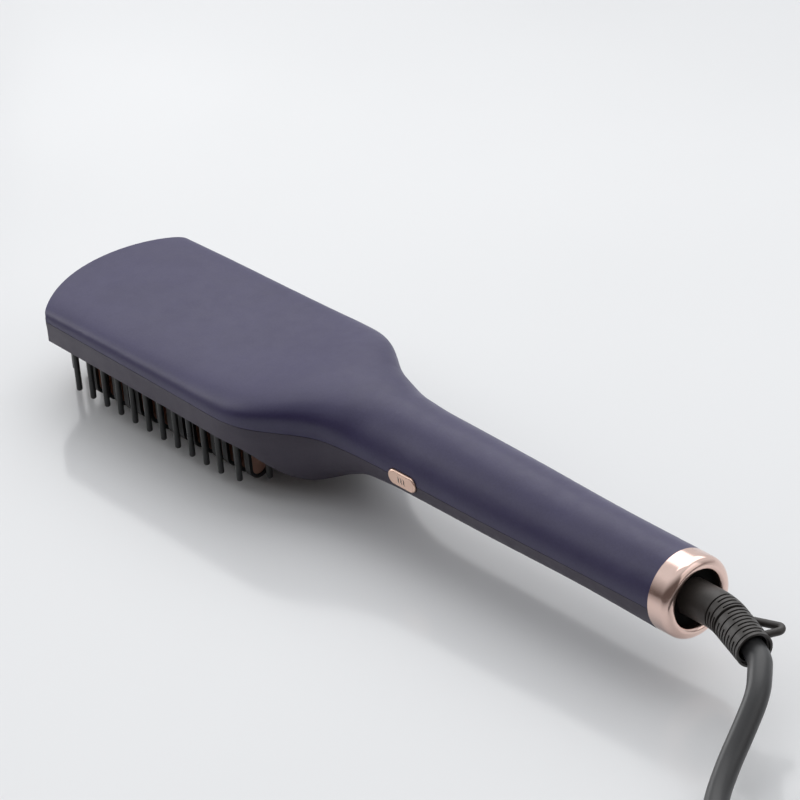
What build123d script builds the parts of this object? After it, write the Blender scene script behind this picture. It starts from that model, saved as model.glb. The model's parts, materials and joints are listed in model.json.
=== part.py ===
from build123d import *
import math
import os

# Heated styling brush lying on its teeth. Millimetres, +Z up, z = 0 is the surface under the teeth.
# +X runs from the head to the cord, and the brush is symmetric about y = 0 apart from its button.
# Places along the brush are measured from the tip of the head and moved to the origin by along().
# The origin is under the middle of the brush with its strain relief.

# Overall sizes
overall_length = 286.0
relief_reach = 31.8
head_tip_width = 61.6
head_heel_width = 64.4
head_length = 104.0
tip_sagitta = 12.5
tip_corner_radius = 3.5
tip_edge_radius = 2.0
tip_edge_rise = 4.8
rim_bottom = 20.6
head_parting = 28.5
handle_axis_z = 26.5
wall = 1.8
parting_gap = 0.15
fit_gap = 0.15
seat_gap = 0.05
skin_overlap = 1.0
handle_half_width = 15.0
spigot_root = 3.0

# End ring and cord swivel
ring_radius = 13.5
ring_length = 8.5
ring_bore_radius = 9.5
ring_edge_radius = 3.0
ring_lip_radius = 1.4
spigot_wall = 1.5
spigot_length = 5.0
socket_radius = 10.4
socket_wall = 1.4
socket_length = 14.0
socket_lip = 2.6
flange_radius = 8.6
flange_thickness = 2.4
relief_radius = 6.1
relief_end_radius = 6.0
swivel_fit = 0.08
swivel_side_gap = 0.3
retainer_thickness = 2.0

# Face panel and teeth
panel_bottom = 23.3
panel_thickness = 1.6
rim_wall = 2.3
ledge_width = 1.5
panel_heel = 109.0
panel_heel_radius = 9.0
blade_rows = 15
blade_pitch = 5.45
first_blade = 25.4
blade_columns = 4
column_pitch = 13.2
guard_width = 8.2
guard_thickness = 2.4
guard_rim = 1.2
outer_column_lift = 2.2
blade_thickness = 1.5
plate_thickness = 1.8
plate_width = 50.0
plate_margin = 3.4

# Guard pins round the teeth
pin_radius = 1.0
pin_tip_z = 3.7
pin_end_radius = 0.7
pin_pitch = 7.31
first_pin = 20.4
side_pin_count = 11
first_pin_y = 26.5
last_pin_y = 28.2
corner_pin = (101.4, 27.2)
tip_pin_inset = 4.3
tip_pin_angles = (-28.2, -18.8, -9.4, 0.0, 9.4, 18.8, 28.2)
heel_pin_ys = (-19.8, -9.9, 0.0, 9.9, 19.8)
heel_pin_x = 107.4

# Heater stack on the plate
heater_length = 30.0
heater_width = 14.0
heater_height = 2.4
heater_pitch = 38.0
strip_width = 10.0
strip_thickness = 0.4
strip_overhang = 2.0
sheet_overhang = 3.0
sheet_thickness = 0.5
clamp_thickness = 1.2
thermistor_length = 5.0
thermistor_width = 3.0
thermistor_height = 1.6
sensor_y = 12.5
fuse_radius = 1.9
fuse_length = 11.0
wire_radius = 0.8
wire_bend = 2.5
wire_rise = 5.6

# Button, switch and board
button_x = 168.3
button_z = 26.2
button_length = 12.6
button_height = 5.2
button_proud = 0.6
button_gap = 0.25
button_skirt = 4.8
button_travel = 0.5
button_crown = 0.5
button_flange_thickness = 1.0
button_flange_lip = 0.8
button_stem_radius = 1.6
switch_width = 6.0
switch_height = 3.4
plunger_radius = 1.75
plunger_reach = 1.7
plunger_socket = 1.3
plunger_gap = 0.1
capacitor_radius = 3.6
capacitor_length = 9.0
triac_size = (10.0, 4.4, 9.0)
chip_size = (9.0, 1.5, 6.0)
capacitor_place = 62.0
front_chip_place = 44.0
triac_place = 46.0
back_chip_place = 26.0
board_start = 150.0
board_y = -0.2
board_length = 78.0
board_height = 18.0
board_thickness = 1.6
rib_thickness = 1.6
rib_grip = 1.2
rib_inset = 5.0

# Screws that hold the heater plate and the panel to the back cover
screw_radius = 1.3
screw_head_radius = 2.2
screw_head_height = 1.4
screw_xs = (14.0, 103.0)
screw_ys = (-13.3, 13.3)
screw_depth = 4.6
boss_radius = 3.2
notch_width = 16.0
notch_height = 3.0

# Strain relief: straight neck, one bend, then a grooved sleeve with a hang loop on its far side.
# Here and for the cord, x is measured past the end ring.
bend_start = 5.9
bend_radius = 30.0
bend_angle = 18.3
bend_tilt = 13.7
sleeve_straight = 15.4
groove_rows = 6
groove_pitch = 3.3
groove_width = 0.65
groove_depth = 0.8
groove_span = 144.0
groove_turn = 40.0
last_groove_gap = 1.7
mouth_radius = 4.7
mouth_depth = 5.0
mouth_rim_radius = 5.3
mouth_rim_depth = 1.2
loop_radius = 1.25
loop_bend = 1.5
loop_points = ((16.0, 3.2, 25.2), (29.8, 8.9, 25.0), (25.2, -0.5, 24.9))

# Cord: its free stretches by hand-chosen points, and the coil of what the photograph doesn't show
cord_diameter = 7.6
cord_exit_run = 2.8
cord_route = (
    (37.6, -11.4, 23.8),
    (43.3, -17.4, 21.4),
    (48.4, -27.0, 15.6),
    (52.0, -36.5, 9.7),
    (59.8, -48.5, 5.0),
    (73.2, -60.5, 4.1),
    (91.5, -69.2, 4.3),
    (111.4, -74.0, 4.9),
)
cord_lead = 7.6
coil_start = (136.9, -74.0, 4.9)
coil_first_radius = 53.1
coil_half_turns = 6
coil_gap = 0.6
tie_width = 6.0
tie_thickness = 0.8
tie_clearance = 0.2
tie_corner = 3.0
tail_route = (
    (168.3, -74.0, 13.1),
    (190.2, -65.0, 10.2),
    (202.0, -53.0, 8.0),
    (208.4, -37.3, 6.85),
)
plug_place = (208.4, -20.1)
plug_length = 34.0
plug_width = 35.0
plug_height = 13.7
plug_back_width = 16.0
plug_grip_length = 20.0
plug_edge_radius = 2.0
plug_pin_radius = 2.0
plug_root_radius = 1.5
plug_root_step = 0.5
plug_pin_length = 19.0
plug_pin_spacing = 18.6
plug_pin_seat = 1.0

os.makedirs("parts", exist_ok=True)
ring_start = overall_length - ring_length
panel_top = panel_bottom + panel_thickness
plate_top = panel_top + plate_thickness
tip_radius = ((head_tip_width / 2) ** 2 + tip_sagitta**2) / (2 * tip_sagitta)


def along(distance):
    """X of a place given by its distance from the tip of the head."""
    return distance - (overall_length + relief_reach) / 2


def past_ring(x, y, z):
    """Point given by its distance past the end ring, and its own y and z."""
    return Vector(along(overall_length + x), y, z)


def save(piece, name):
    piece.label = name
    export_step(piece, "parts/" + name + ".step")


# Driving sections of the outer skin: distance from the tip, half width, parting height, rise of the cover
# over it, how square the cover's arch is (2 is an ellipse, more is squarer), and how far its side swells.
cover_stations = (
    (0.0, head_tip_width / 2 - 0.3, head_parting, 4.0, 4.8, 0.0),
    (30.0, head_tip_width / 2 + 0.2, head_parting, 5.4, 4.6, 0.0),
    (60.0, head_tip_width / 2 + 0.6, head_parting, 6.4, 4.3, 0.0),
    (85.0, head_tip_width / 2 + 1.1, head_parting, 7.4, 3.9, 0.0),
    (98.0, head_heel_width / 2, head_parting, 8.4, 3.6, 0.0),
    (104.0, head_heel_width / 2 - 0.4, head_parting, 9.1, 3.4, 0.6),
    (109.0, 30.5, 28.3, 10.2, 3.25, 2.0),
    (114.0, 28.0, 28.0, 11.4, 3.1, 4.0),
    (119.5, 24.7, 27.7, 12.4, 3.05, 5.8),
    (125.5, 20.7, 27.4, 13.2, 2.8, 6.25),
    (131.5, 17.9, 27.1, 13.7, 2.6, 5.0),
    (139.0, 16.35, 26.8, 14.0, 2.45, 3.0),
    (148.0, 15.5, 26.6, 13.9, 2.1, 1.2),
    (165.0, handle_half_width, handle_axis_z, 13.9, 2.0, 0.0),
    (200.0, handle_half_width - 0.2, handle_axis_z, 13.5, 2.0, 0.0),
    (240.0, handle_half_width - 1.0, handle_axis_z, 12.9, 2.0, 0.0),
    (ring_start, ring_radius, handle_axis_z, ring_radius, 2.0, 0.0),
)

# Lower skin at the same distances: half width and height of the lower corner, bulge of the side,
# and sag of the underside between the corners. Half width and parting come from the table above.
shell_stations = (
    (0.0, head_tip_width / 2 - 1.0, rim_bottom, 0.1, 0.05),
    (30.0, head_tip_width / 2 - 0.5, rim_bottom, 0.1, 0.05),
    (60.0, head_tip_width / 2 - 0.1, rim_bottom, 0.1, 0.05),
    (85.0, head_tip_width / 2 + 0.4, rim_bottom, 0.1, 0.05),
    (98.0, head_heel_width / 2 - 0.7, rim_bottom, 0.1, 0.05),
    (104.0, head_heel_width / 2 - 1.2, 20.2, 0.2, 0.1),
    (109.0, 28.1, 17.5, 0.6, 0.5),
    (114.0, 23.8, 12.4, 1.4, 1.2),
    (119.5, 18.0, 7.6, 2.6, 1.9),
    (125.5, 13.0, 6.9, 3.3, 2.2),
    (131.5, 10.0, 10.0, 3.3, 2.2),
    (139.0, 8.7, 13.1, 2.7, 2.1),
    (148.0, 8.0, 15.8, 2.2, 1.9),
    (165.0, 7.6, 16.8, 2.0, 1.8),
    (200.0, 7.5, 16.9, 2.0, 1.8),
    (240.0, 7.0, 16.7, 1.9, 1.8),
    (ring_start, ring_radius / 2, 14.8, 1.8, 1.8),
)


section_count = 36


def steady_slope(before, after, run_before, run_after):
    """Slope at a driving section that lets the curve pass it without overshoot."""
    if before * after <= 0:
        return 0.0
    first = 2 * run_after + run_before
    second = run_after + 2 * run_before
    return (first + second) / (first / before + second / after)


def smooth_values(table, distance):
    """Values of a station table at any distance, on smooth curves through its rows."""
    places = [row[0] for row in table]
    index = max(i for i in range(len(table) - 1) if i == 0 or places[i] <= distance)
    run = places[index + 1] - places[index]
    t = (distance - places[index]) / run
    values = [distance]
    for column in range(1, len(table[0])):
        heights = [row[column] for row in table]
        rises = [(heights[i + 1] - heights[i]) / (places[i + 1] - places[i]) for i in range(len(table) - 1)]
        slopes = [rises[0]]
        for i in range(1, len(rises)):
            runs = (places[i] - places[i - 1], places[i + 1] - places[i])
            slopes.append(steady_slope(rises[i - 1], rises[i], *runs))
        slopes.append(rises[-1])
        value = (2 * t**3 - 3 * t**2 + 1) * heights[index]
        value += (t**3 - 2 * t**2 + t) * run * slopes[index]
        value += (3 * t**2 - 2 * t**3) * heights[index + 1]
        value += (t**3 - t**2) * run * slopes[index + 1]
        values.append(value)
    return values


def section_places(start):
    """Evenly spaced distances of the lofted sections, from start to the end ring."""
    return [start + (ring_start - start) * step / section_count for step in range(section_count + 1)]


def cover_section(place, inset, skirt):
    """Closed arch of the cover at one place, drawn in by inset and carried skirt below the parting."""
    distance, half_width, parting, rise, power, swell = smooth_values(cover_stations, place)
    half = half_width - inset
    base = parting - skirt
    top = parting + rise - inset
    fullness = (8 * 2 ** (-1 / power) - 4) / 3
    shoulder = base + fullness * (top - base)
    with BuildSketch(Plane.YZ.offset(along(distance))) as section:
        with BuildLine():
            Bezier((half, base), (half + swell, shoulder), (half * fullness, top), (0, top))
            Bezier((0, top), (-half * fullness, top), (-half - swell, shoulder), (-half, base))
            Line((-half, base), (half, base))
        make_face()
    return section.sketch.face()


def shell_section(place, inset, lift):
    """Closed lower section: two sides and the underside, drawn in by inset, its top raised by lift."""
    distance, half_width, parting = smooth_values(cover_stations, place)[:3]
    corner_y, corner_z, bulge, sag = smooth_values(shell_stations, place)[1:]
    top = parting - parting_gap + lift
    half = half_width - inset
    low_y = corner_y - inset * 0.75
    low_z = corner_z + inset * 0.8
    run = Vector(half - low_y, top - low_z)
    outwards = Vector(run.Y, -run.X).normalized()
    side = Vector((half + low_y) / 2, (top + low_z) / 2) + outwards * 2 * bulge
    with BuildSketch(Plane.YZ.offset(along(distance))) as section:
        with BuildLine():
            Line((-half, top), (half, top))
            Bezier((half, top), (side.X, side.Y), (low_y, low_z))
            Bezier((low_y, low_z), (0, low_z - 2 * sag), (-low_y, low_z))
            Bezier((-low_y, low_z), (-side.X, side.Y), (-half, top))
        make_face()
    return section.sketch.face()


def head_outline(inset, heel, reach, tip_round, heel_round):
    """Plan of the head: tip arc and side lines, ending at a straight heel."""
    half_tip = head_tip_width / 2 - inset
    half_heel = head_heel_width / 2 + reach - inset
    with BuildSketch() as outline:
        with BuildLine():
            ThreePointArc(
                (along(tip_sagitta), -half_tip),
                (along(inset), 0),
                (along(tip_sagitta), half_tip),
            )
            Polyline(
                (along(tip_sagitta), half_tip),
                (along(heel), half_heel),
                (along(heel), -half_heel),
                (along(tip_sagitta), -half_tip),
            )
        make_face()
        for distance, radius in ((tip_sagitta, tip_round), (heel, heel_round)):
            if radius > 0:
                ends = [v for v in outline.vertices() if abs(v.X - along(distance)) < 0.01]
                fillet(ends, radius)
    return outline.sketch


# Everything behind the tip arc: trims the lofted cover to the head's rounded tip
with BuildPart() as tip_trim:
    add(head_outline(0, head_length + 6, 2.0, tip_corner_radius, 0))
    extrude(amount=head_parting + tip_edge_rise)
    tip_edges = tip_trim.faces().sort_by(Axis.Z)[-1].edges()
    fillet([e for e in tip_edges if e.center().X < along(tip_sagitta + 1)], tip_edge_radius)
    with BuildSketch(Plane.XY):
        with Locations((along((tip_sagitta + overall_length) / 2), 0)):
            Rectangle(overall_length - tip_sagitta, 1.5 * head_heel_width)
    extrude(amount=2 * head_parting)

# The same for the cavity, one wall further in
with BuildPart() as inner_trim:
    add(head_outline(wall, overall_length, 6.0, 0, 0))
    extrude(amount=2 * head_parting)


def spigot(low, high):
    """Half tube at the handle's end that the ring is pushed over."""
    with BuildPart() as tube:
        with BuildSketch(Plane.YZ.offset(along(ring_start - spigot_root))) as section:
            with Locations((0, handle_axis_z)):
                Circle(socket_radius + seat_gap + spigot_wall)
                Circle(socket_radius + seat_gap, mode=Mode.SUBTRACT)
            with Locations((0, (low + high) / 2)):
                Rectangle(4 * handle_half_width, high - low, mode=Mode.INTERSECT)
        extrude(amount=spigot_root + spigot_length)
    return tube.part


def rib(low, high, slot_low, slot_high):
    """Two ribs across the handle with a slot that grips one long edge of the board."""
    with BuildPart() as ribs:
        for distance in (board_start + rib_inset, board_start + board_length - rib_inset):
            with Locations((along(distance), board_y, (low + high) / 2)):
                Box(rib_thickness, 4 * rib_thickness + board_thickness, high - low)
            with Locations((along(distance), board_y, (slot_low + slot_high) / 2)):
                Box(
                    2 * rib_thickness,
                    board_thickness + 2 * seat_gap,
                    slot_high - slot_low,
                    mode=Mode.SUBTRACT,
                )
    return ribs.part


def button_block(grow, near, far):
    """Full-round button section, grown by a clearance, between two Y faces."""
    with BuildPart() as block:
        with BuildSketch(Plane.XZ.offset(-near)):
            with Locations((along(button_x), button_z)):
                SlotOverall(button_length + 2 * grow, button_height + 2 * grow)
        extrude(amount=-(far - near))
    return block.part


def screw_hole(radius, low, high, xs):
    """Vertical pins at the panel screws' places."""
    with BuildPart() as pins:
        for distance in xs:
            with Locations((along(distance), 0, (low + high) / 2)):
                with Locations(*((0, y, 0) for y in screw_ys)):
                    Cylinder(radius, high - low)
    return pins.part


# Places that follow from the sizes above
button_face = -(handle_half_width + button_proud)
button_back = button_face + button_skirt
board_front = board_y - board_thickness / 2
plunger_tip = board_front - switch_height - plunger_reach
board_low = button_z - board_height / 2
board_high = button_z + board_height / 2

# Solid skins and their cavities
with BuildPart() as cover_skin:
    loft([cover_section(place, 0, 0) for place in section_places(0)])
    add(tip_trim.part, mode=Mode.INTERSECT)

with BuildPart() as cover_cavity:
    loft([cover_section(place, wall, 0.5) for place in section_places(0)])
    add(inner_trim.part, mode=Mode.INTERSECT)

with BuildPart() as shell_skin:
    loft([shell_section(place, 0, 0) for place in section_places(0)])
    add(tip_trim.part, mode=Mode.INTERSECT)

with BuildPart() as shell_cavity:
    loft([shell_section(place, wall, 0.5) for place in section_places(panel_heel + wall)])

# Back cover: upper shell with screw bosses, board ribs and the button's notch
with BuildPart() as back_cover:
    add(cover_skin.part)
    add(cover_cavity.part, mode=Mode.SUBTRACT)
    add(rib(board_high - rib_grip, 2 * handle_axis_z, board_low, board_high))
    add(screw_hole(boss_radius, head_parting, 2 * head_parting, screw_xs))
    add(cover_skin.part, mode=Mode.INTERSECT)
    add(screw_hole(boss_radius, panel_top, head_parting + skin_overlap, screw_xs[:1]))
    add(screw_hole(boss_radius, plate_top, head_parting + skin_overlap, screw_xs[1:]))
    add(spigot(handle_axis_z, 2 * handle_axis_z))
    add(screw_hole(screw_radius, panel_top, plate_top + screw_depth, screw_xs), mode=Mode.SUBTRACT)
    add(button_block(button_gap, -2 * handle_half_width, button_back), mode=Mode.SUBTRACT)
save(back_cover.part, "back_cover")

# Front frame: rim round the teeth, belly and lower half of the handle
with BuildPart() as front_frame:
    add(shell_skin.part)
    add(shell_cavity.part, mode=Mode.SUBTRACT)
    add(head_outline(rim_wall, panel_heel, 0, tip_corner_radius, panel_heel_radius))
    extrude(amount=panel_top, mode=Mode.SUBTRACT)
    add(head_outline(rim_wall + ledge_width, panel_heel - ledge_width, 0, tip_corner_radius, panel_heel_radius))
    extrude(amount=2 * head_parting, mode=Mode.SUBTRACT)
    with Locations((along(panel_heel), 0, head_parting - notch_height / 2)):
        Box(6 * ledge_width, notch_width, notch_height, mode=Mode.SUBTRACT)
    add(rib(0, board_low + rib_grip, board_low, board_high))
    add(shell_skin.part, mode=Mode.INTERSECT)
    add(spigot(0, handle_axis_z - parting_gap))
    add(button_block(button_gap, -2 * handle_half_width, button_back), mode=Mode.SUBTRACT)
save(front_frame.part, "front_frame")


def tongue(width, top, tip_z, thickness):
    """Upright plate across the brush with a full-round end, from the panel down."""
    with BuildPart() as plate:
        with BuildSketch(Plane.YZ):
            with Locations((0, (top + tip_z + width / 2) / 2)):
                Rectangle(width, top - tip_z - width / 2)
            with Locations((0, tip_z + width / 2)):
                Circle(width / 2)
        extrude(amount=thickness / 2, both=True)
    return plate.part


# The field of blades: rows along the brush, columns across it
blade_width = guard_width - 2 * guard_rim
field_length = (blade_rows - 1) * blade_pitch
field_middle = first_blade + field_length / 2
plate_start = first_blade - plate_margin
plate_end = first_blade + field_length + plate_margin

# Face panel: carries the pins and the guards, with a slot for each blade
with BuildPart() as face_panel:
    with BuildSketch(Plane.XY.offset(panel_bottom)):
        add(head_outline(rim_wall + fit_gap, panel_heel - fit_gap, 0, tip_corner_radius, panel_heel_radius))
        with Locations((along(field_middle), 0)):
            with GridLocations(blade_pitch, column_pitch, blade_rows, blade_columns):
                Rectangle(blade_thickness + 2 * seat_gap, blade_width + 2 * seat_gap, mode=Mode.SUBTRACT)
    extrude(amount=panel_thickness)
    add(screw_hole(screw_radius + seat_gap, 0, 2 * panel_top, screw_xs), mode=Mode.SUBTRACT)
save(face_panel.part, "face_panel")

# Heating plate: aluminium slab with its blades
column_lifts = (outer_column_lift, 0.0, 0.0, outer_column_lift)
column_places = [(column - (blade_columns - 1) / 2) * column_pitch for column in range(blade_columns)]
with BuildPart() as heating_plate:
    with Locations((along(field_middle), 0, panel_top + plate_thickness / 2)):
        Box(plate_end - plate_start, plate_width, plate_thickness)
    for across, lift in zip(column_places, column_lifts):
        blade = tongue(blade_width, panel_top + seat_gap, guard_rim + lift, blade_thickness)
        with Locations((along(field_middle), across)):
            with GridLocations(blade_pitch, 0, blade_rows, 1):
                add(blade)
    add(screw_hole(screw_radius + seat_gap, 0, 2 * plate_top, screw_xs[1:]), mode=Mode.SUBTRACT)
save(heating_plate.part, "heating_plate")

# Blade guards: a black U round the edge of every blade, one node per column
inner_width = blade_width + 2 * seat_gap
for column, (across, lift) in enumerate(zip(column_places, column_lifts)):
    inner_tip = lift + guard_rim - seat_gap
    with BuildPart() as guard:
        add(tongue(guard_width, panel_bottom, lift, guard_thickness))
        add(tongue(inner_width, panel_top, inner_tip, 2 * guard_thickness), mode=Mode.SUBTRACT)
    with BuildPart() as guards:
        with Locations((along(field_middle), across)):
            with GridLocations(blade_pitch, 0, blade_rows, 1):
                add(guard.part)
    save(guards.part, f"blade_guards_{column + 1}")


def guard_pins(places, name):
    """Round pins that stand down from the panel, with rounded ends."""
    with BuildPart() as pins:
        with Locations(*((along(x), y, (panel_bottom + pin_tip_z) / 2) for x, y in places)):
            Cylinder(pin_radius, panel_bottom - pin_tip_z)
        fillet(pins.faces().group_by(Axis.Z)[0].edges(), pin_end_radius)
    save(pins.part, name)


side_places = [corner_pin]
for count in range(side_pin_count):
    share = count / (side_pin_count - 1)
    side_y = first_pin_y + (last_pin_y - first_pin_y) * share
    side_places.append((first_pin + count * pin_pitch, side_y))
tip_places = []
for angle in tip_pin_angles:
    reach = tip_radius - tip_pin_inset
    turn = math.radians(angle)
    tip_places.append((tip_radius - reach * math.cos(turn), reach * math.sin(turn)))
guard_pins([(x, -y) for x, y in side_places], "side_pins_near")
guard_pins(side_places, "side_pins_far")
guard_pins(tip_places, "tip_pins")
guard_pins([(heel_pin_x, y) for y in heel_pin_ys], "heel_pins")

# Screws through the panel into the cover's bosses
with BuildPart() as panel_screws:
    add(screw_hole(screw_radius, panel_bottom, plate_top + screw_depth - fit_gap, screw_xs))
    add(screw_hole(screw_head_radius, panel_bottom - screw_head_height, panel_bottom, screw_xs))
save(panel_screws.part, "panel_screws")

# Heater stack on the plate: ceramic heaters, contact strip, insulating sheet and clamp plate
heater_middle = along(field_middle)
heater_top = plate_top + heater_height
stack_length = heater_pitch + heater_length
with BuildPart() as ptc_heaters:
    with Locations((heater_middle, 0, plate_top + heater_height / 2)):
        with GridLocations(heater_pitch, 0, 2, 1):
            Box(heater_length, heater_width, heater_height)
save(ptc_heaters.part, "ptc_heaters")


def stack_plate(low, thickness, length, width, name):
    """Flat plate of the heater stack with a clearance hole for the clamp screw."""
    with BuildPart() as plate:
        with Locations((heater_middle, 0, low + thickness / 2)):
            Box(length, width, thickness)
            Cylinder(screw_radius + seat_gap, 2 * thickness, mode=Mode.SUBTRACT)
    save(plate.part, name)


strip_top = heater_top + strip_thickness
sheet_top = strip_top + sheet_thickness
clamp_top = sheet_top + clamp_thickness
stack_plate(heater_top, strip_thickness, stack_length + strip_overhang, strip_width, "contact_strip")
sheet_width = heater_width + sheet_overhang
stack_plate(strip_top, sheet_thickness, stack_length + sheet_overhang, sheet_width, "insulating_sheet")
stack_plate(sheet_top, clamp_thickness, stack_length, heater_width, "heater_clamp")

with BuildPart() as clamp_screw:
    with Locations((heater_middle, 0, (plate_top + clamp_top) / 2)):
        Cylinder(screw_radius, clamp_top - plate_top)
    with Locations((heater_middle, 0, clamp_top + screw_head_height / 2)):
        Cylinder(screw_head_radius, screw_head_height)
save(clamp_screw.part, "clamp_screw")

# Temperature sensor and thermal fuse beside the heaters
with BuildPart() as thermistor:
    with Locations((heater_middle, -sensor_y, plate_top + thermistor_height / 2)):
        Box(thermistor_length, thermistor_width, thermistor_height)
save(thermistor.part, "thermistor")

with BuildPart() as thermal_fuse:
    with Locations((heater_middle, sensor_y, plate_top + fuse_radius)):
        Cylinder(fuse_radius, fuse_length, rotation=(0, 90, 0))
save(thermal_fuse.part, "thermal_fuse")

# Control board on its long edge in the handle, with what is soldered to it
board_middle = along(board_start + board_length / 2)
board_back = board_front + board_thickness
with BuildPart() as control_board:
    with Locations((board_middle, board_y, button_z)):
        Box(board_length, board_thickness, board_height)
save(control_board.part, "control_board")

# Capacitor and chip on the near face, triac and second chip on the far face
with BuildPart() as board_components:
    with Locations((along(board_start + capacitor_place), board_front - capacitor_length / 2, button_z)):
        Cylinder(capacitor_radius, capacitor_length, rotation=(90, 0, 0))
    with Locations((along(board_start + front_chip_place), board_front - chip_size[1] / 2, button_z)):
        Box(*chip_size)
    with Locations((along(board_start + triac_place), board_back + triac_size[1] / 2, button_z)):
        Box(*triac_size)
    with Locations((along(board_start + back_chip_place), board_back + chip_size[1] / 2, button_z)):
        Box(*chip_size)
save(board_components.part, "board_components")

# Push switch under the button: fixed body and moving plunger
switch_face = board_front - switch_height
with BuildPart() as push_switch:
    with Locations((along(button_x), (board_front + switch_face) / 2, button_z)):
        Box(switch_width, switch_height, switch_width)
    with Locations((along(button_x), switch_face + plunger_socket / 2, button_z)):
        bore_radius = plunger_radius + swivel_fit
        Cylinder(bore_radius, plunger_socket, rotation=(90, 0, 0), mode=Mode.SUBTRACT)
save(push_switch.part, "push_switch")

plunger_end = switch_face + plunger_socket - button_travel - swivel_fit
with BuildPart() as switch_plunger:
    with Locations((along(button_x), (plunger_tip + plunger_end) / 2, button_z)):
        Cylinder(plunger_radius, plunger_end - plunger_tip, rotation=(90, 0, 0))
save(switch_plunger.part, "switch_plunger")

# Side button: full-round cap, flange behind the wall and a stem that meets the plunger
stem_end = plunger_tip - plunger_gap
with BuildPart() as side_button:
    add(button_block(0, button_face, button_back))
    rim_edges = side_button.faces().sort_by(Axis.Y)[0].edges()
    fillet(rim_edges, button_crown)
    flange_front = button_back - button_flange_thickness
    add(button_block(button_flange_lip, flange_front, button_back))
    with Locations((along(button_x), (button_back + stem_end) / 2, button_z)):
        Cylinder(button_stem_radius, stem_end - button_back, rotation=(90, 0, 0))
save(side_button.part, "side_button")

# End ring pushed over the spigots, with a rounded front edge and an open bore
with BuildPart() as end_ring:
    with BuildSketch(Plane.YZ.offset(along(ring_start))):
        with Locations((0, handle_axis_z)):
            Circle(ring_radius)
            Circle(ring_bore_radius, mode=Mode.SUBTRACT)
    extrude(amount=ring_length)
    front_edges = end_ring.faces().sort_by(Axis.X)[-1].edges().sort_by(SortBy.LENGTH)
    fillet(front_edges[-1], ring_edge_radius)
    fillet(front_edges[0], ring_lip_radius)
    spigot_outer = socket_radius + seat_gap + spigot_wall
    with BuildSketch(Plane.YZ.offset(along(ring_start))):
        with Locations((0, handle_axis_z)):
            Circle(spigot_outer + seat_gap)
    extrude(amount=spigot_length + seat_gap, mode=Mode.SUBTRACT)
save(end_ring.part, "end_ring")


def turned(profile, name):
    """Body of revolution about the handle's axis from (distance, radius) corners."""
    with BuildPart() as body:
        with BuildSketch(Plane.XZ):
            with BuildLine():
                Polyline(*((along(x), handle_axis_z + r) for x, r in profile), close=True)
            make_face()
        revolve(axis=Axis((0, 0, handle_axis_z), (1, 0, 0)))
    if name:
        save(body.part, name)
    return body.part


# Swivel socket held in the spigots: a lip at the front keeps the cord's flange in
socket_front = ring_start + spigot_length
socket_back = socket_front - socket_length
lip_back = socket_front - socket_lip
lip_bore = relief_radius + swivel_fit
socket_bore = socket_radius - socket_wall
turned(
    (
        (socket_back, socket_bore),
        (lip_back, socket_bore),
        (lip_back, lip_bore),
        (socket_front, lip_bore),
        (socket_front, socket_radius),
        (socket_back, socket_radius),
    ),
    "swivel_socket",
)

# Retainer behind the flange, with two contact pins that touch the slip rings
flange_front_x = lip_back - swivel_side_gap
flange_back_x = flange_front_x - flange_thickness
slip_ring_thickness = 0.2
retainer_front = flange_back_x - swivel_side_gap
retainer_back = retainer_front - retainer_thickness
contact_radii = (2.6, 5.6)
contact_pin_radius = 0.9
contact_pin_tail = 2.0
with BuildPart() as socket_retainer:
    with BuildSketch(Plane.YZ.offset(along(retainer_back))):
        with Locations((0, handle_axis_z)):
            Circle(socket_bore - seat_gap)
        with Locations(*((r, handle_axis_z) for r in contact_radii)):
            Circle(contact_pin_radius + seat_gap, mode=Mode.SUBTRACT)
    extrude(amount=retainer_thickness)
save(socket_retainer.part, "socket_retainer")

pin_front = flange_back_x - slip_ring_thickness - seat_gap
with BuildPart() as contact_pins:
    with BuildSketch(Plane.YZ.offset(along(retainer_back - contact_pin_tail))):
        with Locations(*((r, handle_axis_z) for r in contact_radii)):
            Circle(contact_pin_radius)
    extrude(amount=pin_front - retainer_back + contact_pin_tail)
save(contact_pins.part, "contact_pins")

with BuildPart() as slip_rings:
    for radius in contact_radii:
        with BuildSketch(Plane.YZ.offset(along(flange_back_x - slip_ring_thickness))):
            with Locations((0, handle_axis_z)):
                Circle(radius + contact_pin_radius)
                Circle(radius - contact_pin_radius, mode=Mode.SUBTRACT)
        extrude(amount=slip_ring_thickness)
save(slip_rings.part, "slip_rings")

# Middle line of the strain relief: straight along the handle's axis, one bend, then straight to its mouth
turn = math.radians(bend_angle)
tilt = math.radians(bend_tilt)
sideways = Vector(0, -math.cos(tilt), -math.sin(tilt))
bend_from = past_ring(bend_start, 0, handle_axis_z)
bend_to = bend_from + Vector(1, 0, 0) * bend_radius * math.sin(turn)
bend_to += sideways * bend_radius * (1 - math.cos(turn))
mouth_direction = Vector(1, 0, 0) * math.cos(turn) + sideways * math.sin(turn)
mouth = bend_to + mouth_direction * sleeve_straight
with BuildLine() as sleeve_path:
    sleeve_neck = Line((along(flange_back_x), 0, handle_axis_z), bend_from)
    sleeve_bend = TangentArc(bend_from, bend_to, tangent=(1, 0, 0))
    sleeve_end = Line(bend_to, mouth)


def sleeve_plane(before_mouth):
    """Plane across the sleeve, at a distance back from its mouth along the middle line."""
    edge, run = sleeve_end, before_mouth
    if run > sleeve_end.length:
        edge, run = sleeve_bend, run - sleeve_end.length
    share = 1 - run / edge.length
    return Plane(origin=edge @ share, x_dir=(0, 0, 1), z_dir=edge % share)


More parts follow.
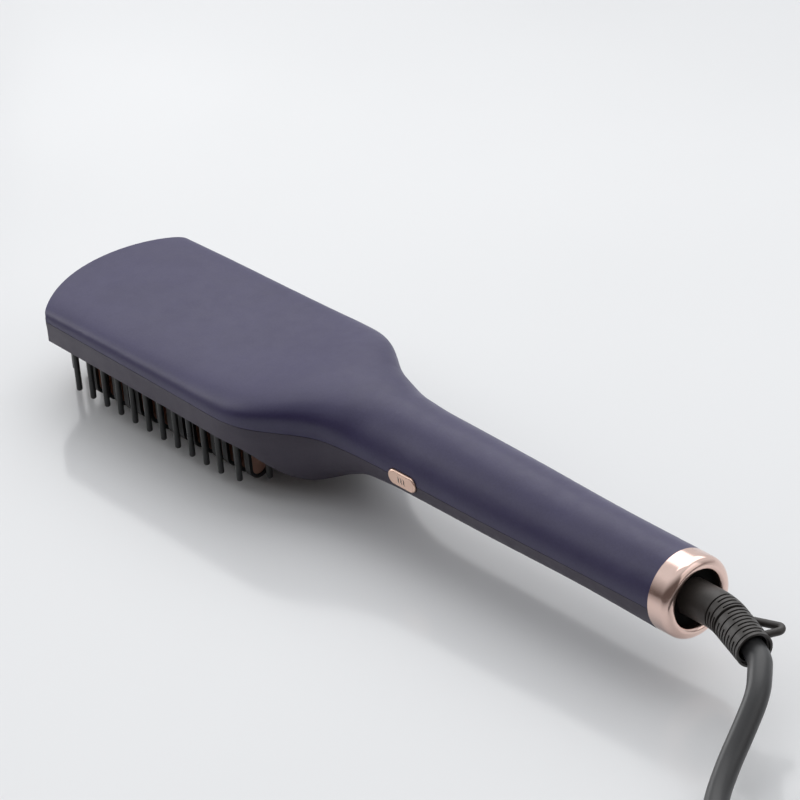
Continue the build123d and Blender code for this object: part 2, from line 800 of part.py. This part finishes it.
# Strain relief: flange, neck, and a grooved sleeve whose grooves alternate a quarter turn
with BuildPart() as strain_relief:
    with BuildSketch(Plane.YZ.offset(along(flange_back_x))):
        with Locations((0, handle_axis_z)):
            Circle(flange_radius)
    extrude(amount=flange_thickness)
    with BuildSketch(Plane.YZ.offset(along(flange_back_x))):
        with Locations((0, handle_axis_z)):
            Circle(relief_radius)
    extrude(amount=overall_length + bend_start - flange_back_x)
    with BuildSketch(sleeve_plane(sleeve_end.length + sleeve_bend.length)):
        Circle(relief_radius)
    sweep(path=sleeve_bend)
    with BuildSketch(sleeve_plane(sleeve_end.length)) as sleeve_root:
        Circle(relief_radius)
    with BuildSketch(sleeve_plane(0)) as sleeve_tip:
        Circle(relief_end_radius)
    loft([sleeve_root.sketch.face(), sleeve_tip.sketch.face()])
    for row in range(2 * groove_rows + 1):
        place = last_groove_gap + row * groove_pitch / 2
        first_angle = groove_turn + 90 * (row % 2) - groove_span / 2
        with BuildSketch(sleeve_plane(place)):
            for half in (0, 180):
                with BuildLine():
                    outer = CenterArc((0, 0), 2 * relief_radius, first_angle + half, groove_span)
                    inner = CenterArc((0, 0), relief_radius - groove_depth, first_angle + half, groove_span)
                    Line(outer @ 0, inner @ 0)
                    Line(outer @ 1, inner @ 1)
                make_face()
        extrude(amount=groove_width, mode=Mode.SUBTRACT)
    with BuildSketch(sleeve_plane(0)):
        Circle(mouth_radius)
    extrude(amount=-mouth_depth, mode=Mode.SUBTRACT)
    with BuildSketch(sleeve_plane(0)):
        Circle(mouth_rim_radius)
    extrude(amount=-mouth_rim_depth, mode=Mode.SUBTRACT)
    loop_start, loop_tip, loop_end = (past_ring(*point) for point in loop_points)
    with BuildLine() as loop_path:
        FilletPolyline(loop_start, loop_tip, loop_end, radius=loop_bend)
    with BuildSketch(Plane(origin=loop_start, z_dir=loop_tip - loop_start)):
        Circle(loop_radius)
    sweep(path=loop_path.wires()[0])
save(strain_relief.part, "strain_relief")


def tube(points, radius, bends):
    """Round tube through a list of points, its corners rounded by one radius or by a list of them."""
    with BuildLine() as route:
        FilletPolyline(*points, radius=bends)
    with BuildPart() as body:
        with BuildSketch(Plane(origin=points[0], z_dir=Vector(*points[1]) - Vector(*points[0]))):
            Circle(radius)
        sweep(path=route.wires()[0])
    return body.part, route.wires()[0].length


def route_bends(points):
    """Largest radius that each corner's two runs leave room for."""
    bends = []
    for before, corner, after in zip(points, points[1:], points[2:]):
        run_in = corner - before
        run_out = after - corner
        half_turn = math.radians(run_in.get_angle(run_out)) / 2
        bends.append(0.45 * min(run_in.length, run_out.length) / math.tan(half_turn))
    return bends


# Lead wires: heaters, fuse and sensor to the board's front end, slip contacts to its back end
stack_end = heater_middle + (stack_length + strip_overhang) / 2
board_front_end = along(board_start) - seat_gap
board_back_end = along(board_start + board_length) + seat_gap
pin_back = along(retainer_back - contact_pin_tail) - seat_gap
wire_top = plate_top + wire_rise
fuse_end = heater_middle + fuse_length / 2 + seat_gap
sensor_end = heater_middle + thermistor_length / 2 + seat_gap
sensor_wire_z = plate_top + wire_radius + seat_gap
strip_wire_z = strip_top - wire_radius - seat_gap
wire_routes = (
    (
        (stack_end + seat_gap, 0, strip_wire_z),
        (stack_end + 6, 0, strip_wire_z),
        (stack_end + 16, board_y, button_z + 4),
        (board_front_end, board_y, button_z + 4),
    ),
    (
        (fuse_end, sensor_y, plate_top + fuse_radius),
        (fuse_end + 5, sensor_y, plate_top + fuse_radius),
        (fuse_end + 13, sensor_y, wire_top),
        (fuse_end + 29, sensor_y / 2, wire_top),
        (board_front_end - 20, board_y, button_z + 7),
        (board_front_end, board_y, button_z + 7),
    ),
    (
        (sensor_end, -sensor_y, sensor_wire_z),
        (sensor_end + 5, -sensor_y, sensor_wire_z),
        (sensor_end + 14, -sensor_y, wire_top),
        (sensor_end + 32, -sensor_y / 2, wire_top),
        (board_front_end - 12, board_y, button_z + 1),
        (board_front_end, board_y, button_z + 1),
    ),
    (
        (board_back_end, board_y, button_z + 5),
        (board_back_end + 8, board_y, button_z + 5),
        (pin_back - 10, contact_radii[0], handle_axis_z),
        (pin_back, contact_radii[0], handle_axis_z),
    ),
    (
        (board_back_end, board_y, button_z - 5),
        (board_back_end + 8, board_y, button_z - 5),
        (pin_back - 10, contact_radii[1], handle_axis_z),
        (pin_back, contact_radii[1], handle_axis_z),
    ),
)
with BuildPart() as lead_wires:
    for points in wire_routes:
        add(tube(points, wire_radius, wire_bend)[0])
save(lead_wires.part, "lead_wires")

# Free stretch of the cord, from the bottom of the strain relief's mouth to the coil
cord_radius = cord_diameter / 2
coil_from = past_ring(*coil_start)
cord_points = [mouth - mouth_direction * (mouth_depth - seat_gap), mouth + mouth_direction * cord_exit_run]
cord_points += [past_ring(*point) for point in cord_route]
cord_points.append(coil_from - Vector(cord_lead, 0, 0))
cord_bends = route_bends(cord_points)
cord_part, cord_length = tube(cord_points, cord_radius, cord_bends)
save(cord_part, "power_cord")

# Coil: half turns inwards on the surface, one climbing half turn, then half turns outwards on top
coil_pitch = cord_diameter + coil_gap
radii = [coil_first_radius - step * coil_pitch / 2 for step in range(coil_half_turns)]
climb_radius = radii[-1] - coil_pitch / 2
with BuildLine() as coil_path:
    Line(cord_points[-1], coil_from)
    place = coil_from
    side = 1
    for radius in radii + [climb_radius] + radii[:0:-1]:
        end = place + Vector(0, 2 * radius * side, 0)
        if radius == climb_radius:
            end += Vector(0, 0, coil_pitch)
            reach = math.hypot(radius, coil_pitch / 2)
            halfway = (place + end) / 2 + Vector(reach * side, 0, 0)
            climb = TangentArc(place, halfway, tangent=(side, 0, 0))
            TangentArc(halfway, end, tangent=climb % 1)
        else:
            ThreePointArc(place, (place + end) / 2 + Vector(radius * side, 0, 0), end)
        place = end
        side = -side
    coil_to = place + Vector(cord_lead, 0, 0)
    Line(place, coil_to)
coil_wire = coil_path.wires()[0]
with BuildPart() as cord_coil:
    with BuildSketch(Plane(origin=cord_points[-1], z_dir=(1, 0, 0))):
        Circle(cord_radius)
    sweep(path=coil_wire)
save(cord_coil.part, "cord_coil")

# Tie round the turns on the coil's left side
coil_middle_y = coil_from.Y + coil_first_radius
outer_turn = radii[1]
inner_turn = math.sqrt(radii[-1] ** 2 - (coil_middle_y - coil_from.Y - radii[1]) ** 2)
bundle_left = coil_from.X - outer_turn - cord_radius - tie_clearance
bundle_right = coil_from.X - inner_turn + cord_radius + tie_clearance + coil_gap
bundle_low = coil_from.Z - cord_radius - tie_clearance
bundle_high = coil_from.Z + coil_pitch + cord_radius + tie_clearance
with BuildPart() as coil_tie:
    with BuildSketch(Plane.XZ.offset(-(coil_middle_y + tie_width / 2))):
        with Locations(((bundle_left + bundle_right) / 2, (bundle_low + bundle_high) / 2)):
            bundle_width = bundle_right - bundle_left
            bundle_height = bundle_high - bundle_low
            tie_radius = tie_corner + tie_thickness
            RectangleRounded(bundle_width + 2 * tie_thickness, bundle_height + 2 * tie_thickness, tie_radius)
            RectangleRounded(bundle_width, bundle_height, tie_corner, mode=Mode.SUBTRACT)
    extrude(amount=tie_width)
save(coil_tie.part, "coil_tie")

# Plug: flat body with a narrower grip at the back, and two round pins
plug_x = past_ring(plug_place[0], 0, 0).X
plug_back_y = plug_place[1]
plug_front_y = plug_back_y + plug_length
plug_z = plug_height / 2
with BuildPart() as plug_body:
    with BuildSketch(Plane.XY.offset(plug_z)):
        with BuildLine():
            Polyline(
                (plug_x - plug_width / 2, plug_front_y),
                (plug_x + plug_width / 2, plug_front_y),
                (plug_x + plug_width / 2, plug_back_y + plug_grip_length),
                (plug_x + plug_back_width / 2, plug_back_y),
                (plug_x - plug_back_width / 2, plug_back_y),
                (plug_x - plug_width / 2, plug_back_y + plug_grip_length),
                close=True,
            )
        make_face()
        fillet(vertices(), plug_edge_radius)
    extrude(amount=plug_height / 2, both=True)
    fillet(faces().sort_by(Axis.Z)[-1].edges() + faces().sort_by(Axis.Z)[0].edges(), plug_edge_radius)
    with BuildSketch(Plane.XZ.offset(-plug_front_y)):
        with Locations((plug_x, plug_z)):
            with GridLocations(plug_pin_spacing, 0, 2, 1):
                Circle(plug_root_radius)
    extrude(amount=plug_pin_seat, mode=Mode.SUBTRACT)
save(plug_body.part, "plug_body")

# Plug pins: a thinner root in the body's pocket, then the full pin that the socket grips
with BuildPart() as plug_pins:
    with BuildSketch(Plane.XZ.offset(-(plug_front_y - plug_pin_seat))):
        with Locations((plug_x, plug_z)):
            with GridLocations(plug_pin_spacing, 0, 2, 1):
                Circle(plug_root_radius)
    extrude(amount=-(plug_pin_seat + plug_root_step))
    with BuildSketch(Plane.XZ.offset(-(plug_front_y + plug_root_step))):
        with Locations((plug_x, plug_z)):
            with GridLocations(plug_pin_spacing, 0, 2, 1):
                Circle(plug_pin_radius)
    extrude(amount=-(plug_pin_length - plug_root_step))
    fillet(plug_pins.faces().group_by(Axis.Y)[-1].edges(), plug_pin_radius / 2)
save(plug_pins.part, "plug_pins")

# From the coil to the plug
tail_points = [coil_to]
tail_points += [past_ring(*point) for point in tail_route]
tail_points.append(Vector(plug_x, plug_back_y - seat_gap, plug_z))
tail_bends = route_bends(tail_points)
tail_part, tail_length = tube(tail_points, cord_radius, tail_bends)
save(tail_part, "cord_tail")


def coil_self_gap():
    """Least clear distance between two turns of the coil, from points along its middle line."""
    count = 900
    points = [coil_wire.position_at(step / count) for step in range(count + 1)]
    spacing = coil_wire.length / count
    apart = int(2.5 * cord_diameter / spacing)
    least = 1000.0
    for first in range(count + 1):
        for second in range(first + apart, count + 1):
            least = min(least, (points[first] - points[second]).length)
    return least - cord_diameter


section = math.pi * cord_radius**2
print("Cord radius", cord_radius, "coil radii", climb_radius, radii[-1], radii[0])
for name, part, length in (
    ("power_cord", cord_part, cord_length),
    ("cord_coil", cord_coil.part, coil_wire.length),
    ("cord_tail", tail_part, tail_length),
):
    print(name, "length", round(length, 1), "volume", round(part.volume), "of", round(section * length))
print("Radii of the free stretch", [round(bend, 1) for bend in cord_bends])
print("Radii of the tail", [round(bend, 1) for bend in tail_bends])
print("Whole cord", round(cord_length + coil_wire.length + tail_length, 1))
print("Least gap of the coil to itself", round(coil_self_gap(), 2))
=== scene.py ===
import json
import math

import bpy
from mathutils import Matrix, Vector


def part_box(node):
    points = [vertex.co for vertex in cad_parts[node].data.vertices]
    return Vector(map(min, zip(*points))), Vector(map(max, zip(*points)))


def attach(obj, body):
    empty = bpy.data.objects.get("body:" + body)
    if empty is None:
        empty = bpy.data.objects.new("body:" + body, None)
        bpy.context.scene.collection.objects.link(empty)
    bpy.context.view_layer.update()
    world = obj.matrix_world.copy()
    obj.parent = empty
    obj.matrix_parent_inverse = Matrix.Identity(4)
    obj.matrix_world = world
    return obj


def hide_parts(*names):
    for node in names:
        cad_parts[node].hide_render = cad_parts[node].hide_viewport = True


# Heated styling brush on a pale glossy table. Metres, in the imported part's frame: +X runs from the
# head's tip to the cord, +Z up, z = 0 is the table.

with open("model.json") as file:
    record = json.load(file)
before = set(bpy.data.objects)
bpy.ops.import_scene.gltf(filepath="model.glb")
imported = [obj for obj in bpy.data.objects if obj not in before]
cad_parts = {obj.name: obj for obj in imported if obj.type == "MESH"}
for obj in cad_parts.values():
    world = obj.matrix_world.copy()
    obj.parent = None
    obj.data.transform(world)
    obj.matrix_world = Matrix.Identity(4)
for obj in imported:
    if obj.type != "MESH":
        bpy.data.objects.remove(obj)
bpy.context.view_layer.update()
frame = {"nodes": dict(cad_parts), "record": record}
nodes = frame["nodes"]
mm = 0.001

# Sizes repeated from the part's source, in millimetres
overall_length = 286.0
relief_reach = 31.8
handle_axis_z = 26.5
bend_start = 5.9
bend_radius = 30.0
bend_angle = math.radians(18.3)
bend_tilt = math.radians(13.7)
sleeve_straight = 15.4
mouth_depth = 5.0


def past_ring(x, y, z):
    """Point in metres from its distance past the end ring, and its own y and z, in millimetres."""
    return Vector(((overall_length - relief_reach) / 2 + x, y, z)) * mm


# Camera, solved from the photograph: its place in metres and its three axes
camera_lens = 324.8
camera_sensor_width = 36.0
camera_clip_end = 20.0
camera_place = Vector((1.48149, -1.17020, 1.22886))
camera_right = Vector((0.65870, 0.74708, -0.08929))
camera_up = Vector((-0.35013, 0.40940, 0.84250))
camera_back = Vector((0.66597, -0.52369, 0.53125))
camera_data = bpy.data.cameras.new("camera")
camera_data.sensor_width = camera_sensor_width
camera_data.lens = camera_lens
camera_data.clip_end = camera_clip_end
camera = bpy.data.objects.new("camera", camera_data)
bpy.context.scene.collection.objects.link(camera)
turn = Matrix((camera_right, camera_up, camera_back)).transposed()
camera.matrix_world = Matrix.Translation(camera_place) @ turn.to_4x4()
bpy.context.scene.camera = camera
bpy.context.scene.view_settings.view_transform = "Standard"


# Most noise values lie between these two
noise_low = 0.3
noise_high = 0.7


class Shader:
    """A material under construction: its nodes, links and Principled shader."""

    def __init__(self, name):
        self.material = bpy.data.materials.new(name)
        self.material.use_nodes = True
        self.tree = self.material.node_tree
        self.principled = self.tree.nodes["Principled BSDF"]
        self.place = self.tree.nodes.new("ShaderNodeTexCoord").outputs["Object"]

    def set(self, **values):
        for name, value in values.items():
            self.principled.inputs[name.replace("_", " ")].default_value = value

    def node(self, kind, **settings):
        made = self.tree.nodes.new(kind)
        for name, value in settings.items():
            setattr(made, name, value)
        return made

    def link(self, source, target):
        self.tree.links.new(source, target)

    def noise(self, scale, detail):
        """Noise value in object space, in features per metre."""
        made = self.node("ShaderNodeTexNoise")
        made.inputs["Scale"].default_value = scale
        made.inputs["Detail"].default_value = detail
        self.link(self.place, made.inputs["Vector"])
        return made.outputs["Fac"]

    def spread(self, value, low, high):
        """A noise value mapped onto a range."""
        made = self.node("ShaderNodeMapRange")
        made.inputs["From Min"].default_value = noise_low
        made.inputs["From Max"].default_value = noise_high
        made.inputs["To Min"].default_value = low
        made.inputs["To Max"].default_value = high
        self.link(value, made.inputs["Value"])
        return made.outputs["Result"]

    def blend(self, value, first, second):
        """A colour between two, by a value from 0 to 1."""
        made = self.node("ShaderNodeMix", data_type="RGBA")
        self.link(value, made.inputs["Factor"])
        for name, color in (("A", first), ("B", second)):
            socket = [i for i in made.inputs if i.name == name and i.type == "RGBA"][0]
            if isinstance(color, tuple):
                socket.default_value = (*color, 1.0)
            else:
                self.link(color, socket)
        return [o for o in made.outputs if o.type == "RGBA"][0]

    def color(self, source):
        self.link(source, self.principled.inputs["Base Color"])

    def roughness(self, source):
        self.link(source, self.principled.inputs["Roughness"])

    def bump(self, height, distance):
        """Bump from a height from 0 to 1, in metres of relief."""
        made = self.node("ShaderNodeBump")
        made.inputs["Strength"].default_value = 1.0
        made.inputs["Distance"].default_value = distance
        self.link(height, made.inputs["Height"])
        self.link(made.outputs["Normal"], self.principled.inputs["Normal"])


# Sizes of the mottling and relief in all finishes, in features per metre
cloud_scale = 60.0
speckle_scale = 1400.0
gloss_scale = 220.0
grain_scale = 2600.0
plating_cloud_scale = 90.0
plating_gloss_scale = 700.0
plating_wave_scale = 140.0
plating_wave_relief = 0.00003


def moulded(name, dark, light, low, high, relief=0.00001, **values):
    """Moulded or painted plastic: faint mottling and speckle, fine grain and uneven gloss."""
    shader = Shader(name)
    shader.set(**values)
    cloud = shader.spread(shader.noise(cloud_scale, detail=4.0), 0.0, 0.5)
    speckle = shader.spread(shader.noise(speckle_scale, detail=1.0), 0.0, 0.5)
    mottle = shader.node("ShaderNodeMath", operation="ADD")
    shader.link(cloud, mottle.inputs[0])
    shader.link(speckle, mottle.inputs[1])
    shader.color(shader.blend(mottle.outputs[0], dark, light))
    shader.roughness(shader.spread(shader.noise(gloss_scale, detail=5.0), low, high))
    shader.bump(shader.noise(grain_scale, detail=3.0), relief)
    return shader


def plated(name, dark, light, low, high):
    """Bright metal plating with faint waviness and polishing marks."""
    shader = Shader(name)
    shader.set(Metallic=1.0)
    cloud = shader.spread(shader.noise(plating_cloud_scale, detail=3.0), 0.0, 1.0)
    shader.color(shader.blend(cloud, dark, light))
    shader.roughness(shader.spread(shader.noise(plating_gloss_scale, detail=4.0), low, high))
    shader.bump(shader.noise(plating_wave_scale, detail=1.0), plating_wave_relief)
    return shader


# Finishes: two colours that the mottling runs between, then the least and most roughness
cover_paint = moulded(
    "cover paint", (0.028, 0.022, 0.072), (0.040, 0.033, 0.098), 0.36, 0.44,
    Specular_IOR_Level=0.5, Sheen_Weight=0.12, Sheen_Roughness=0.5, Sheen_Tint=(0.65, 0.6, 0.92, 1.0),
)
frame_paint = moulded("frame paint", (0.036, 0.027, 0.050), (0.048, 0.037, 0.064), 0.38, 0.48)
# Bore lining: a black part, but darker and duller than the black plastic; that extra darkness is
# painted shade deep in the bore
bore_black_painted_shade = moulded(
    "bore black painted shade", (0.002, 0.002, 0.002), (0.003, 0.003, 0.003), 0.7, 0.8,
    Specular_IOR_Level=0.1,
)
black_plastic = moulded(
    "black plastic", (0.008, 0.008, 0.009), (0.013, 0.013, 0.014), 0.34, 0.46,
    relief=0.00002,
)
pin_plastic = moulded(
    "pin plastic", (0.018, 0.019, 0.020), (0.026, 0.027, 0.028), 0.26, 0.38,
    relief=0.00002,
)
relief_rubber = moulded(
    "relief rubber", (0.040, 0.035, 0.032), (0.052, 0.046, 0.042), 0.36, 0.46,
    relief=0.00002,
)
cord_sleeve = moulded(
    "cord sleeve", (0.040, 0.040, 0.042), (0.046, 0.046, 0.048), 0.36, 0.40,
    relief=0.000004,
)
wire_sleeve = moulded("wire sleeve", (0.45, 0.03, 0.02), (0.5, 0.04, 0.03), 0.4, 0.5)
board_mask = moulded("board mask", (0.01, 0.09, 0.035), (0.012, 0.11, 0.045), 0.25, 0.35)
mica = moulded("mica", (0.52, 0.42, 0.22), (0.6, 0.5, 0.3), 0.3, 0.45)
mark_ink = moulded("mark ink", (0.030, 0.018, 0.016), (0.045, 0.028, 0.024), 0.4, 0.5)
rose_gold = plated("rose gold", (0.89, 0.65, 0.57), (0.93, 0.70, 0.62), 0.14, 0.20)
button_gold = plated("button gold", (0.86, 0.60, 0.48), (0.91, 0.65, 0.53), 0.26, 0.34)
copper = plated("copper coating", (0.64, 0.37, 0.28), (0.73, 0.45, 0.35), 0.34, 0.46)
steel = plated("steel", (0.55, 0.55, 0.56), (0.62, 0.62, 0.63), 0.22, 0.34)
aluminium = plated("aluminium", (0.72, 0.72, 0.73), (0.78, 0.78, 0.79), 0.3, 0.42)
brass = plated("brass", (0.74, 0.55, 0.25), (0.8, 0.6, 0.3), 0.2, 0.32)
nickel = plated("nickel", (0.66, 0.64, 0.6), (0.72, 0.7, 0.66), 0.12, 0.2)

finishes = {
    "cover": cover_paint,
    "frame": frame_paint,
    "panel": black_plastic,
    "blades": copper,
    "guards": black_plastic,
    "pins": pin_plastic,
    "steel": steel,
    "heater": aluminium,
    "brass": brass,
    "mica": mica,
    "component": black_plastic,
    "board": board_mask,
    "wire": wire_sleeve,
    "rose_gold": rose_gold,
    "inner_black": bore_black_painted_shade,
    "relief": relief_rubber,
    "cord": cord_sleeve,
    "tie": black_plastic,
    "plug": relief_rubber,
    "nickel": nickel,
}
for entry in frame["record"]["subparts"]:
    mesh = nodes[entry["node"]].data
    mesh.materials.clear()
    mesh.materials.append(finishes[entry["material_slot"]].material)
nodes["side_button"].data.materials[0] = button_gold.material

# Cord: one smooth curve from the bottom of the strain relief's mouth, through the coil, to the plug.
# Millimetres past the end ring, as in the part's source. Five of the route's points are moved by up to
# 4 mm from that source, so that the cord follows the photograph.
cord_radius = 3.8
cord_lead = 7.6
cord_exit_run = 2.8
mouth_slack = 0.5
cord_route = (
    (37.6, -11.4, 23.8),
    (43.2, -17.6, 21.4),
    (46.8, -27.6, 15.4),
    (50.4, -38.1, 9.7),
    (57.4, -50.8, 5.3),
    (70.0, -62.6, 4.1),
    (91.5, -69.2, 4.3),
    (111.4, -74.0, 4.9),
)
coil_start = (136.9, -74.0, 4.9)
coil_first_radius = 53.1
coil_half_turns = 6
coil_pitch = 8.2
tail_route = (
    (168.3, -74.0, 13.1),
    (190.2, -65.0, 10.2),
    (202.0, -53.0, 8.0),
    (208.4, -37.3, 6.85),
    (208.4, -20.1, 6.85),
)
sideways = Vector((0, -math.cos(bend_tilt), -math.sin(bend_tilt)))
forwards = Vector((1, 0, 0))
mouth_direction = forwards * math.cos(bend_angle) + sideways * math.sin(bend_angle)
mouth = past_ring(bend_start, 0, handle_axis_z)
mouth += forwards * bend_radius * math.sin(bend_angle) * mm
mouth += sideways * bend_radius * (1 - math.cos(bend_angle)) * mm
mouth += mouth_direction * sleeve_straight * mm


def coil_points():
    """Control points of the coil: half turns inwards, one climbing half turn, half turns outwards."""
    x, y, z = coil_start
    points = [(x - cord_lead, y, z)]
    radii = [coil_first_radius - step * coil_pitch / 2 for step in range(coil_half_turns)]
    climb = radii[-1] - coil_pitch / 2
    side = 1
    steps = 6
    step_angle = math.pi / steps
    for radius in radii + [climb] + radii[:0:-1]:
        rise = coil_pitch if radius == climb else 0.0
        reach = radius / math.cos(step_angle / 2)
        for step in range(steps):
            angle = (step + 0.5) * step_angle
            points.append(
                (
                    x + side * reach * math.sin(angle),
                    y + side * (radius - reach * math.cos(angle)),
                    z + rise * (step + 0.5) / steps,
                )
            )
        y += 2 * radius * side
        z += rise
        side = -side
    points.append((x + cord_lead, y, z))
    return points


# The cord lies low in the mouth, towards the picture's lower right
cord_shift = (camera_right - camera_up) * mouth_slack * mm
cord_start = mouth - mouth_direction * mouth_depth * mm
cord_exit = mouth + mouth_direction * cord_exit_run * mm
cord_points = [cord_start + cord_shift, cord_exit + cord_shift]
cord_points += [past_ring(*point) for point in cord_route + tuple(coil_points()) + tail_route]
cord_curve = bpy.data.curves.new("power_cable", "CURVE")
cord_curve.dimensions = "3D"
cord_curve.bevel_depth = cord_radius * mm
cord_curve.bevel_resolution = 6
cord_curve.resolution_u = 8
cord_curve.use_fill_caps = True
spline = cord_curve.splines.new("NURBS")
spline.points.add(len(cord_points) - 1)
for control, point in zip(spline.points, cord_points):
    control.co = (*point, 1.0)
spline.order_u = 3
spline.use_endpoint_u = True
cord = bpy.data.objects.new("power_cable", cord_curve)
bpy.context.scene.collection.objects.link(cord)
cord_curve.materials.append(cord_sleeve.material)
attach(cord, "cord_swivel")
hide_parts("power_cord", "cord_coil", "cord_tail")

# Button marks: three slanted wavy strokes on the button's face
button_low, button_high = (Vector(corner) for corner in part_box("side_button"))
button_middle = (button_low + button_high) / 2
mark_pitch = 1.25 * mm
mark_height = 2.3 * mm
mark_width = 0.42 * mm
mark_slant = 0.35
mark_wave = 0.22 * mm
mark_lift = 0.02 * mm
mark_taper = 1.6
mark_steps = 10
mark_vertices = []
mark_faces = []
for stroke in (-1, 0, 1):
    for step in range(mark_steps + 1):
        share = step / mark_steps - 0.5
        x = button_middle.x + stroke * mark_pitch - share * mark_height * mark_slant
        x += mark_wave * math.sin(2 * math.pi * share)
        width = mark_width * (1 - (mark_taper * share) ** 2)
        y = button_low.y - mark_lift
        z = button_middle.z + share * mark_height
        first = len(mark_vertices)
        mark_vertices += [(x - width / 2, y, z), (x + width / 2, y, z)]
        if step < mark_steps:
            mark_faces.append((first, first + 1, first + 3, first + 2))
mark_mesh = bpy.data.meshes.new("button_marks")
mark_mesh.from_pydata(mark_vertices, [], mark_faces)
mark_mesh.materials.append(mark_ink.material)
marks = bpy.data.objects.new("button_marks", mark_mesh)
bpy.context.scene.collection.objects.link(marks)
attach(marks, "button")

# Table: pale, glossy enough to show a soft reflection of the brush
table_reach = 4.0
table_cloud_scale = 3.0
table_gloss_scale = 9.0
table = Shader("table")
table.set(Specular_IOR_Level=0.5)
table_cloud = table.spread(table.noise(table_cloud_scale, detail=2.0), 0.0, 1.0)
table.color(table.blend(table_cloud, (0.77, 0.775, 0.785), (0.80, 0.805, 0.815)))
table.roughness(table.spread(table.noise(table_gloss_scale, detail=3.0), 0.10, 0.16))
table_mesh = bpy.data.meshes.new("table_top")
table_corners = [(x * table_reach, y * table_reach, 0) for x, y in ((-1, -1), (1, -1), (1, 1), (-1, 1))]
table_mesh.from_pydata(table_corners, [], [(0, 1, 2, 3)])
table_mesh.materials.append(table.material)
table_top = bpy.data.objects.new("table_top", table_mesh)
bpy.context.scene.collection.objects.link(table_top)

# Studio room: bright above and behind the brush, dark on the photographer's side, and three soft lamps
bright_side = (-0.42, 0.46, 0.78)
bright_from = 0.55
dark_wall = (0.13, 0.11, 0.105, 1)
bright_wall = (0.84, 0.86, 0.88, 1)
room_strength = 0.8
world = bpy.data.worlds.new("room")
bpy.context.scene.world = world
world.use_nodes = True
room = world.node_tree
background = room.nodes["Background"]
direction = room.nodes.new("ShaderNodeTexCoord")
towards = room.nodes.new("ShaderNodeVectorMath")
towards.operation = "DOT_PRODUCT"
towards.inputs[1].default_value = bright_side
ramp = room.nodes.new("ShaderNodeValToRGB")
room.links.new(direction.outputs["Generated"], towards.inputs[0])
room.links.new(towards.outputs["Value"], ramp.inputs["Fac"])
room.links.new(ramp.outputs["Color"], background.inputs["Color"])
ramp.color_ramp.elements[0].position = 0.0
ramp.color_ramp.elements[0].color = dark_wall
ramp.color_ramp.elements[1].position = bright_from
ramp.color_ramp.elements[1].color = bright_wall
background.inputs["Strength"].default_value = room_strength


def lamp(name, place, target, size, power):
    """Square soft lamp that faces a point."""
    data = bpy.data.lights.new(name, "AREA")
    data.size = size
    data.energy = power
    made = bpy.data.objects.new(name, data)
    bpy.context.scene.collection.objects.link(made)
    made.location = place
    made.rotation_euler = (Vector(target) - Vector(place)).to_track_quat("-Z", "Y").to_euler()


lamp("key", (-0.5, 0.9, 1.5), (0, 0, 0), size=2.0, power=16.0)
lamp("fill", (-1.5, -0.4, 0.55), (-0.1, -0.05, 0), size=1.0, power=8.0)
lamp("rim", (1.6, 0.6, 0.9), (0, 0, 0), size=1.5, power=4.0)
